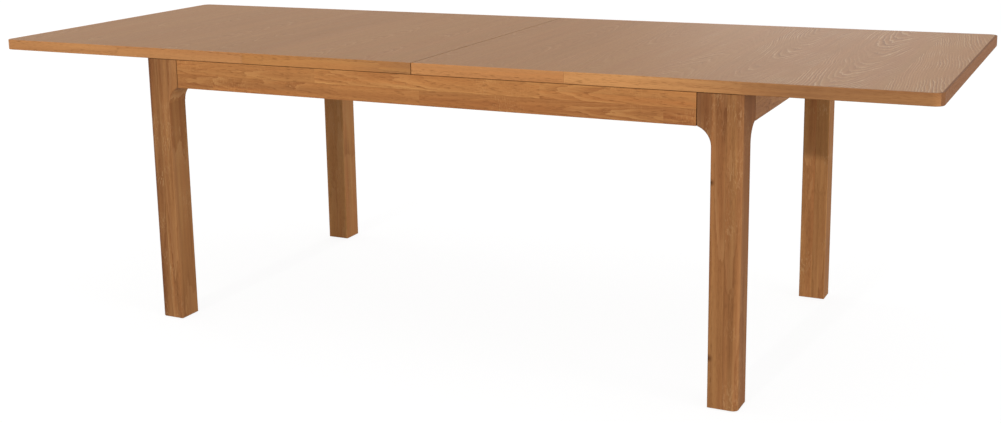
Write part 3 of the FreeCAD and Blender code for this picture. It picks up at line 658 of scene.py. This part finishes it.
    def deep_share(self, tree: Tree, stave: Stave, ring: Socket, strength: Socket) -> Socket:
        """Works out the share of the deep colour.

        It is the sum of the finish's tone, the row's, the heartwood's and the painted shade's, the
        stave's chance, a noise in streaks of 10 to 15 mm, and the ring less its mean, each times
        its depth.

        Args:
            tree: The material's tree.
            stave: The point's stave.
            ring: The ring's value, 1 to 0.
            strength: The figure's strength.

        Returns:
            The share, from 0 to 1.
        """
        streak = stave.drift(tree, DEEP_STREAKS, Detail=4.0, Roughness=0.65)["Fac"]
        share = add_node(
            tree, "ShaderNodeMapRange",
            (streak, *DEEP_EDGE, self.tone, self.tone + self.streak_spread),
        ).outputs[0]
        for part, weight in ((stave.chance, self.stave_spread), (stave.row, self.row_tone)):
            if weight:
                share = add_node(
                    tree, "ShaderNodeMath", (part, weight, share), operation="MULTIPLY_ADD"
                ).outputs[0]
        along = add_node(tree, "ShaderNodeSeparateXYZ", (stave.local,)).outputs[1]
        # Heartwood, and painted shade on the legs' haunches and on the top's right end face.
        for start, end, amount in self.heart_and_shade:
            heartwood_and_shade = add_node(
                tree, "ShaderNodeMapRange", (along, start * MM, end * MM, 0.0, amount)
            ).outputs[0]
            share = add_node(tree, "ShaderNodeMath", (share, heartwood_and_shade), operation="ADD").outputs[0]
        around_mean = add_node(
            tree, "ShaderNodeMath", (ring, 1 / (1 + self.ring_power)), operation="SUBTRACT"
        ).outputs[0]
        return add_node(
            tree, "ShaderNodeMath", (around_mean, strength, share), operation="MULTIPLY_ADD",
            use_clamp=True,
        ).outputs[0]

    def pores(self, tree: Tree, stave: Stave, ring: Socket) -> Socket:
        """Works out how dark the pores make a point: most in a ring's first wood.

        A real pore line is 0.3 mm wide and some 10 mm long. It is drawn 1.2 mm wide and 20 mm long,
        because a finer one wouldn't show.

        Args:
            tree: The material's tree.
            stave: The point's stave.
            ring: The ring's value, 1 to 0.

        Returns:
            How dark it is, from 0 to 1.
        """
        pore_place = add_node(
            tree, "ShaderNodeVectorMath", (stave.local, PORE_LINES), operation="MULTIPLY"
        ).outputs[0]
        pore = add_node(
            tree, "ShaderNodeTexNoise", {"Vector": pore_place, "Scale": 1.0, "Detail": 1.0}
        ).outputs["Fac"]
        pore = add_node(tree, "ShaderNodeMapRange", (pore, *PORE_EDGE, 0.0, 1.0)).outputs[0]
        depth = add_node(
            tree, "ShaderNodeMapRange",
            (ring, 0.0, PORE_PART, LATE_PORES * self.pore_depth, self.pore_depth),
        ).outputs[0]
        return add_node(tree, "ShaderNodeMath", (pore, depth), operation="MULTIPLY").outputs[0]

    def flecks(self, tree: Tree, stave: Stave, colour: Socket) -> Socket:
        """Adds the pale silver grain of the rays where a stave is cut on the quarter.

        A fleck is a noise of the finish's fleck size, turned from the fibres, in patches of 70 by
        110 mm.

        Args:
            tree: The material's tree.
            stave: The point's stave.
            colour: The wood's colour.

        Returns:
            It with the flecks.
        """
        slanted = add_node(
            tree, "ShaderNodeMapping",
            {
                "Vector": stave.local,
                "Rotation": (0.0, 0.0, self.fleck_turn),
                "Scale": tuple(1000.0 / size for size in (*self.fleck_mm, self.fleck_mm[0])),
            },
            vector_type="POINT",
        ).outputs[0]
        fleck = add_node(
            tree, "ShaderNodeTexNoise",
            {"Vector": slanted, "Scale": 1.0, "Detail": 2.0, "Distortion": 0.8},
        ).outputs["Fac"]
        patch = stave.drift(tree, FLECK_PATCHES, Detail=1.0)["Fac"]
        patch = add_node(
            tree, "ShaderNodeMapRange", (patch, *FLECK_PATCH_EDGE, 0.0, self.fleck_depth)
        ).outputs[0]
        fleck = add_node(tree, "ShaderNodeMapRange", (fleck, *FLECK_EDGE, 0.0, 1.0)).outputs[0]
        share = add_node(tree, "ShaderNodeMath", (fleck, patch), operation="MULTIPLY").outputs[0]
        return add_node(
            tree, "ShaderNodeMix",
            {0: share, COLOUR_A: colour, COLOUR_B: linear(self.vein)}, data_type="RGBA",
        ).outputs[COLOUR_OUT]

    def knot(self, tree: Tree, place: Socket, knot: Knot, dark: Socket) -> Socket:
        """Darkens a small round knot, which fades out from its middle to twice its radius.

        Args:
            tree: The material's tree.
            place: The point's place.
            knot: The knot's place and radius.
            dark: How dark the point is without it.

        Returns:
            How dark the point is.
        """
        reach = add_node(
            tree, "ShaderNodeVectorMath", (place, tuple(part * MM for part in knot[:3])),
            operation="DISTANCE",
        ).outputs["Value"]
        spot = add_node(
            tree, "ShaderNodeMapRange", (reach, 0.0, 2 * knot[3] * MM, 1.0, 0.0)
        ).outputs[0]
        return add_node(tree, "ShaderNodeMath", (dark, spot), operation="MAXIMUM").outputs[0]


@dataclass(frozen=True)
class ZincPlate:
    """Bright zinc plate on pressed steel: a cool grey metal with a soft, slightly cloudy shine."""

    name: str = "zinc_plated_steel"
    bright: str = "#C9CBC8"
    dull: str = "#A9ABA6"
    clouds_per_m: float = 160.0
    smoothest: float = 0.28
    roughest: float = 0.42

    def build(self) -> bpy.types.Material:
        """Builds the finish, clouded by a noise of about 6 mm.

        Returns:
            The new material.
        """
        material = blank_material(self.name)
        tree = material.node_tree
        place = add_node(tree, "ShaderNodeTexCoord").outputs["Object"]
        cloud = add_node(
            tree, "ShaderNodeTexNoise",
            {"Vector": place, "Scale": self.clouds_per_m, "Detail": 3.0},
        ).outputs["Fac"]
        colour = add_node(
            tree, "ShaderNodeMix",
            {0: cloud, COLOUR_A: linear(self.bright), COLOUR_B: linear(self.dull)},
            data_type="RGBA",
        ).outputs[COLOUR_OUT]
        gloss = add_node(
            tree, "ShaderNodeMapRange", (cloud, *CLOUD_EDGE, self.smoothest, self.roughest)
        ).outputs[0]
        surface = add_node(
            tree, "ShaderNodeBsdfPrincipled",
            {"Base Color": colour, "Roughness": gloss, "Metallic": 1.0},
        )
        add_node(tree, "ShaderNodeOutputMaterial", (surface.outputs[0],))
        return material


@dataclass(frozen=True)
class Nylon:
    """Moulded brown nylon: matt, with the faint pebble of the mould."""

    name: str = "moulded_nylon"
    colour: str = "#3A2C22"
    worn: str = "#4A3B30"
    pebbles_per_m: float = 900.0
    pebble_mm: float = 0.05
    roughness: float = 0.55

    def build(self) -> bpy.types.Material:
        """Builds the finish, with a pebble of about 1 mm.

        Returns:
            The new material.
        """
        material = blank_material(self.name)
        tree = material.node_tree
        place = add_node(tree, "ShaderNodeTexCoord").outputs["Object"]
        pebble = add_node(
            tree, "ShaderNodeTexNoise",
            {"Vector": place, "Scale": self.pebbles_per_m, "Detail": 2.0},
        ).outputs["Fac"]
        colour = add_node(
            tree, "ShaderNodeMix",
            {0: pebble, COLOUR_A: linear(self.colour), COLOUR_B: linear(self.worn)},
            data_type="RGBA",
        ).outputs[COLOUR_OUT]
        bump = add_node(
            tree, "ShaderNodeBump", {"Distance": self.pebble_mm * MM, "Height": pebble}
        ).outputs[0]
        surface = add_node(
            tree, "ShaderNodeBsdfPrincipled",
            {"Base Color": colour, "Roughness": self.roughness, "Normal": bump},
        )
        add_node(tree, "ShaderNodeOutputMaterial", (surface.outputs[0],))
        return material


# Crown-cut oak veneer: the fibres run across the table, with quiet wood to the left and open nested
# arches to the right. The lacquer is smooth, so it picks up a pale sheen at a low angle.
TOP_VENEER = Oak(
    "oak_top_veneer", Axis.Y, Axis.X, "#A87A4B", "#805531", "#52321C",
    row_mm=196.0, row_start_mm=-19.0, seed=3.0,
    ring_mm=5.0, pith_mm=42.0, pith_spread_mm=25.0, taper=0.09, wander_mm=3.0, swirl_mm=12.0,
    jag_mm=3.0, ring_depth=0.95, figure_even=0.05, figure_patch=0.25, bold_even=0.12,
    ring_rows=(2.6, 4.0), ring_power=1.5, vein="#C9B190", vein_depth=0.55, pore_depth=0.2,
    stave_spread=0.14, streak_spread=0.26, glue_mm=0.4, glue_depth=0.1,
    blush="#A87246", blush_depth=0.4, roughness=0.56, specular=0.24,
)
# Solid oak lippings, finger-jointed: plain straight grain, warmer than the veneer beside it.
EDGE_OAK = Oak(
    "oak_edge_lipping", Axis.X, Axis.Z, "#C68A54", "#8A6242", "#6E421C",
    row_mm=60.0, row_start_mm=715.0, stave_mm=415.0, stagger=0.0, finger_mm=8.0,
    wander_mm=5.0, swirl_mm=5.0, jag_mm=0.6, ring_mm=3.2, ring_depth=0.15, streak_spread=0.35,
    stave_spread=0.06, glue_depth=0.0, blush="#B87440", blush_depth=0.5, mitred=True,
    roughness=0.65, specular=0.1,
)
# Solid oak in two rows of staves: lively honey brown, the upper row paler, with long dark streaks.
LONG_APRON_OAK = Oak(
    "oak_long_apron", Axis.X, Axis.Z, "#C58A4F", "#8C542D", "#603517",
    row_mm=38.0, row_start_mm=656.0, stave_mm=620.0, seed=11.0, row_tone=-0.25, tone=0.27,
    ring_mm=3.2, taper=0.03, pith_mm=35.0, pith_spread_mm=50.0, wander_mm=8.0, jag_mm=2.2,
    ring_depth=0.38, figure_even=0.15, figure_patch=0.85, vein="#D8A568", vein_depth=0.5,
    stave_spread=0.2, streak_spread=0.5, fleck_depth=0.2, fleck_mm=(9.0, 2.6),
    blush="#BC743D", blush_depth=0.6, roughness=0.6, specular=0.12,
)
# The same staves with their fibres across the table, darker and duller: partly their own tone,
# partly painted shade against the light from the right.
END_APRON_OAK = replace(
    LONG_APRON_OAK, name="oak_end_apron", grain=Axis.Y, pale="#BE8A56", deep="#865A36", seed=12.0,
    tone=0.55, vein_depth=0.1, blush="#B0763F", blush_depth=0.4,
)
# Leg blocks of two staves side by side: browner, with fine dark streaks and short pale flecks.
LEG_OAK = Oak(
    "oak_leg", Axis.Z, Axis.X, "#AE7B4A", "#784A2A", "#4F2C13",
    row_mm=34.9, row_start_mm=-770.1, seed=21.0,
    ring_mm=3.4, taper=0.008, pith_mm=60.0, pith_spread_mm=50.0, wander_mm=6.0, swirl_mm=5.0,
    ring_depth=0.45, figure_even=0.4, vein="#BF9668", vein_depth=0.5, pore_depth=0.3,
    stave_spread=0.3, streak_spread=0.75, fleck_depth=0.28, fleck_mm=(3.0, 12.0), fleck_turn=0.12,
    blush="#A2663C", blush_depth=0.6, roughness=0.6, specular=0.08,
)
# Waxed beech for what slides: pale and pinkish, with faint rings and hardly a pore line.
BEECH = Oak(
    "waxed_beech", Axis.X, Axis.Z, "#D3A27C", "#BE8A62", "#8E5F3E",
    row_mm=90.0, row_start_mm=650.0, seed=31.0, ring_mm=5.0, ring_depth=0.3,
    pore_depth=0.25, stave_spread=0.3, glue_depth=0.0,
)


@dataclass(frozen=True)
class EdgeStrip:
    """One board's solid oak edge.

    Attributes:
        name: The strip's node.
        seed: The number its staves are drawn from.
        joint: Where a finger joint lies, in millimetres along the edge.
        tone, heart_and_shade: Its share of the deep colour, and where heartwood adds to it, with
            painted shade on the right strip's end face.
        pale, deep: Its lightest and its darkest wood.
    """

    name: str
    seed: float
    joint: float
    tone: float
    heart_and_shade: tuple[Ramp, ...]
    pale: str = "#C68A54"
    deep: str = "#8A6242"

    def finish(self, edge: Oak) -> Oak:
        """Fits the edge finish to this strip.

        Args:
            edge: The finish of all edges.

        Returns:
            It, with this strip's own joints and tone.
        """
        return replace(
            edge, name=f"oak_{self.name}", stave_start_mm=self.joint, tone=self.tone,
            heart_and_shade=self.heart_and_shade, pale=self.pale, deep=self.deep, seed=self.seed,
        )


@dataclass
class TableTop:
    """The two half tops and the two leaves: veneered boards with solid oak edges."""

    veneer: Oak = TOP_VENEER
    edge: Oak = EDGE_OAK
    boards: tuple[str, ...] = (
        "half_top_left", "half_top_right", "leaf_wide_top", "leaf_narrow_top",
    )
    strips: tuple[EdgeStrip, ...] = (
        EdgeStrip("half_lipping_left", 41.0, -866.0, -0.02, ((-900.0, -860.0, 0.06),)),
        EdgeStrip("leaf_wide_lippings", 42.0, -451.0, 0.04, ((-140.0, 50.0, 0.34),), "#C6894B"),
        EdgeStrip("leaf_narrow_lippings", 43.0, 51.0, -0.12, ()),
        EdgeStrip(
            # The ramp past 1275 mm darkens the end face: painted shade against the light from the
            # right, over the strip's darker heartwood from 600 mm.
            "half_lipping_right", 44.0, 455.0, -0.2,
            ((600.0, 1000.0, 0.7), (1275.0, 1300.0, 0.62)), "#CC925A", "#7D5334",
        ),
    )

    def dress(self, nodes: Objects) -> None:
        """Gives the boards their veneer, and each board's edge its own joints and tone.

        Args:
            nodes: The frame's nodes by name.
        """
        wear(nodes, self.boards, self.veneer.build())
        for strip in self.strips:
            wear(nodes, (strip.name,), strip.finish(self.edge).build())


@dataclass(frozen=True)
class LegStock:
    """One leg's own wood.

    Attributes:
        name: The leg's node.
        seed: The number its staves are drawn from.
        outer: The leg's outer face along X, in millimetres, from which its staves are counted.
        tone, row_tone: Its share of the deep colour, and what each stave adds.
        haunch_shade: What painted shade adds at the haunches, where the top shades the leg.
        flecks: How clearly its ray flecks show.
        haunch: The heights between which the haunches' painted shade comes in, in millimetres.
        knots: Place and radius of each small knot, in millimetres.
    """

    name: str
    seed: float
    outer: float
    tone: float
    row_tone: float
    haunch_shade: float
    flecks: float
    haunch: tuple[float, float] = (600.0, 690.0)
    knots: tuple[Knot, ...] = ()

    def finish(self, leg: Oak) -> Oak:
        """Fits the leg finish to this leg.

        Args:
            leg: The finish of all legs.

        Returns:
            It, with this leg's own staves, tone, painted haunch shade and knots.
        """
        # The haunch ramp is painted shade: it darkens the leg's top, under the table top.
        return replace(
            leg, name=f"oak_{self.name}", row_start_mm=self.outer, tone=self.tone,
            row_tone=self.row_tone, heart_and_shade=((*self.haunch, self.haunch_shade),),
            fleck_depth=self.flecks, seed=self.seed, knots=self.knots,
        )


@dataclass
class Underframe:
    """The four legs and the four aprons."""

    legs: tuple[LegStock, ...] = (
        # A leg's haunch shade is painted shade under the top, strongest on the back right leg,
        # where the top's shadow falls.
        LegStock("leg_front_left", 21.0, -770.1, 0.15, -0.17, 0.15, 0.4),
        # The back left leg's paler tone is partly painted fill light, for the shade under the top.
        LegStock("leg_back_left", 31.0, -770.1, -0.55, 0.0, 0.0, 0.3),
        LegStock(
            "leg_front_right", 42.0, 870.1, -0.27, -0.15, 0.25, 0.3,
            knots=((801.5, -470.0, 531.0, 5.0), (801.5, -470.0, 122.0, 6.0)),
        ),
        # The back right leg's paler tone is partly painted fill light, for the shade under the top.
        LegStock("leg_back_right", 51.0, 870.1, -0.4, 0.0, 0.55, 0.7),
    )
    leg: Oak = LEG_OAK
    long_apron: Oak = LONG_APRON_OAK
    end_apron: Oak = END_APRON_OAK

    def dress(self, nodes: Objects) -> None:
        """Gives every leg staves of its own, counted from its outer face, and the aprons theirs.

        Args:
            nodes: The frame's nodes by name.
        """
        for stock in self.legs:
            wear(nodes, (stock.name,), stock.finish(self.leg).build())
        wear(nodes, ("apron_front", "apron_back"), self.long_apron.build())
        wear(nodes, ("apron_left", "apron_right"), self.end_apron.build())


@dataclass
class Slides:
    """The beech guides, runners, stops and pegs, with their rails across the frame."""

    beech: Oak = BEECH
    along: tuple[str, ...] = (
        "guide_rail_front", "guide_rail_back",
        "runner_left_front", "runner_left_back", "runner_right_front", "runner_right_back",
        "leaf_wide_pegs", "leaf_narrow_pegs",
    )
    across: tuple[str, ...] = (
        "cross_rail_left", "cross_rail_right", "runner_stops_left", "runner_stops_right",
    )

    def dress(self, nodes: Objects) -> None:
        """Gives the lengthwise parts beech along X and the rails and stops beech along Y.

        Args:
            nodes: The frame's nodes by name.
        """
        wear(nodes, self.along, self.beech.build())
        turned = replace(self.beech, name="waxed_beech_across", grain=Axis.Y)
        wear(nodes, self.across, turned.build())


@dataclass
class Hardware:
    """The steel brackets, bolts, screws, studs and hooks, and the nylon glides."""

    zinc: ZincPlate = field(default_factory=ZincPlate)
    nylon: Nylon = field(default_factory=Nylon)
    steel: tuple[str, ...] = (
        "guide_screws", "corner_brackets", "bracket_screws", "hanger_bolts", "bolt_washers",
        "bolt_nuts", "runner_screws_left", "runner_screws_right", "hook_pivots_left",
        "hook_pivots_right", "leaf_wide_studs", "leaf_narrow_studs", "leaf_hook_left_front",
        "leaf_hook_left_back", "leaf_hook_right_front", "leaf_hook_right_back",
    )

    def dress(self, nodes: Objects) -> None:
        """Gives the fittings their zinc plate and the glides their nylon."""
        wear(nodes, self.steel, self.zinc.build())
        wear(nodes, ("floor_glides",), self.nylon.build())


@dataclass(frozen=True)
class Viewpoint:
    """Where the camera stands.

    Attributes:
        place: The lens, in metres.
        turn, dip, roll: The line of sight's angles from Y and from level, and the roll about it.
        focal: The distance to the picture plane, in pixels.
        centre: Where the line of sight meets the picture, in pixels from its top left.
        picture: The picture's width and height, in pixels.
        sensor_mm: The sensor's width.
        far: The furthest that the camera sees, in metres.
    """

    place: tuple[float, float, float] = (1.66714, -3.34234, 1.26356)
    turn: float = -0.485
    dip: float = 0.201
    roll: float = -0.023
    focal: float = 1373.1
    centre: tuple[float, float] = (449.84, 129.90)
    picture: tuple[int, int] = (1001, 423)
    sensor_mm: float = 36.0
    far: float = 200.0

    def build(self) -> None:
        """Adds the camera and makes it the scene's.

        It looks along (sin turn cos dip, cos turn cos dip, -sin dip), and the roll turns right and
        up about that line. The shift puts the line of sight at the picture's centre point.
        """
        width, height = self.picture
        lens = bpy.data.cameras.new("camera")
        lens.sensor_width = self.sensor_mm
        lens.lens = self.focal / width * self.sensor_mm
        lens.shift_x = (width / 2 - self.centre[0]) / width
        lens.shift_y = (self.centre[1] - height / 2) / width
        lens.clip_end = self.far
        ahead = Vector((
            math.sin(self.turn) * math.cos(self.dip),
            math.cos(self.turn) * math.cos(self.dip),
            -math.sin(self.dip),
        ))
        level = Vector((math.cos(self.turn), -math.sin(self.turn), 0.0))
        upright = level.cross(ahead)
        right = math.cos(self.roll) * level + math.sin(self.roll) * upright
        up = -math.sin(self.roll) * level + math.cos(self.roll) * upright
        camera = bpy.data.objects.new("camera", lens)
        camera.matrix_world = (
            Matrix.Translation(self.place) @ Matrix((right, up, -ahead)).transposed().to_4x4()
        )
        bpy.context.scene.collection.objects.link(camera)
        bpy.context.scene.camera = camera


@dataclass(frozen=True)
class Softbox:
    """One white rectangular studio light that looks at a point.

    Attributes:
        name: The light's name.
        place, target: Where it stands and what it looks at, in metres.
        size: Its width and height, in metres.
        power: Its power in watts.
    """

    name: str
    place: tuple[float, float, float]
    target: tuple[float, float, float]
    size: tuple[float, float]
    power: float

    def build(self) -> None:
        """Adds the light to the scene."""
        lamp = bpy.data.lights.new(self.name, "AREA")
        lamp.shape = "RECTANGLE"
        lamp.size, lamp.size_y = self.size
        lamp.energy = self.power
        light = bpy.data.objects.new(self.name, lamp)
        aim = Vector(self.target) - Vector(self.place)
        light.matrix_world = (
            Matrix.Translation(self.place) @ aim.to_track_quat("-Z", "Y").to_matrix().to_4x4()
        )
        bpy.context.scene.collection.objects.link(light)


@dataclass
class Studio:
    """A white floor, a white surround and soft lights.

    Attributes:
        floor_side: Length of the floor's side, in metres.
        ambient: The surround's light on the table, where 1 is white.
        floor_glow, floor_grey: The floor to look at: its own white, and the grey that takes shadow.
        bounce_grey: The floor's grey as the table sees it.
        softboxes: The lights.
    """

    floor_side: float = 60.0
    ambient: float = 0.73
    floor_glow: float = 0.90
    floor_grey: float = 0.14
    bounce_grey: float = 0.45
    softboxes: tuple[Softbox, ...] = (
        Softbox("key", (-0.735, -16.8, 5.27), (0.2, 0.0, 0.55), (0.4, 0.4), 1010.0),
        Softbox("side", (11.0, -2.4, 1.0), (0.0, -0.3, 0.4), (4.0, 1.2), 640.0),
        Softbox("back", (-0.1, 4.6, 1.65), (0.8, 0.0, 0.76), (1.6, 1.0), 11.5),
        Softbox("far_end", (-10.0, 2.0, 1.2), (0.0, 0.2, 0.4), (4.0, 1.2), 300.0),
    )

    def build(self) -> None:
        """Adds the floor, the surround and the lights."""
        self.lay_floor()
        self.light_surround()
        for softbox in self.softboxes:
            softbox.build()
            LOG.info("light %s", softbox.name)

    def white_rays(self, tree: Tree) -> Socket:
        """Tells what is seen, also by gloss and through glass, from what lights the table.

        Args:
            tree: The tree of the floor or the surround.

        Returns:
            1 for rays of the camera, of gloss and through glass, and 0 for the rest.
        """
        rays = add_node(tree, "ShaderNodeLightPath").outputs
        seen = add_node(
            tree, "ShaderNodeMath", (rays["Is Camera Ray"], rays["Is Glossy Ray"]),
            operation="MAXIMUM",
        ).outputs[0]
        return add_node(
            tree, "ShaderNodeMath", (seen, rays["Is Transmission Ray"]), operation="MAXIMUM"
        ).outputs[0]

    def lay_floor(self) -> None:
        """Lays a square white floor that shows the table's shadow softly."""
        half = self.floor_side / 2
        mesh = bpy.data.meshes.new("studio_floor")
        corners = [(-half, -half, 0), (half, -half, 0), (half, half, 0), (-half, half, 0)]
        mesh.from_pydata(corners, [], [(0, 1, 2, 3)])
        floor = bpy.data.objects.new("studio_floor", mesh)
        bpy.context.scene.collection.objects.link(floor)
        material = blank_material("studio_white")
        tree = material.node_tree
        paint, shade = (
            add_node(tree, "ShaderNodeBsdfDiffuse", {"Color": (grey, grey, grey, 1.0)}).outputs[0]
            for grey in (self.bounce_grey, self.floor_grey)
        )
        glow = add_node(
            tree, "ShaderNodeEmission", {"Color": WHITE, "Strength": self.floor_glow}
        ).outputs[0]
        shown = add_node(tree, "ShaderNodeAddShader", (glow, shade)).outputs[0]
        mixed = add_node(
            tree, "ShaderNodeMixShader", (self.white_rays(tree), paint, shown)
        ).outputs[0]
        add_node(tree, "ShaderNodeOutputMaterial", (mixed,))
        mesh.materials.append(material)
        floor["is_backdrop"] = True

    def light_surround(self) -> None:
        """Makes the surround white to look at and a softer light on the table."""
        world = bpy.data.worlds.new("studio_surround")
        world.use_nodes = True
        tree = world.node_tree
        tree.nodes.clear()
        strength = add_node(
            tree, "ShaderNodeMapRange", (self.white_rays(tree), 0.0, 1.0, self.ambient, 1.0)
        ).outputs[0]
        back = add_node(
            tree, "ShaderNodeBackground", {"Color": WHITE, "Strength": strength}
        ).outputs[0]
        add_node(tree, "ShaderNodeOutputWorld", (back,))
        bpy.context.scene.world = world


def main() -> None:
    """Loads the frame, dresses each part of the table and sets up the studio."""
    logging.basicConfig(level=logging.INFO, format="%(name)s: %(message)s")
    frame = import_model()
    for group in (TableTop(), Underframe(), Slides(), Hardware()):
        group.dress(frame["nodes"])
    Viewpoint().build()
    Studio().build()
    bpy.context.scene.view_settings.view_transform = "Standard"


if __name__ == "__main__":
    main()
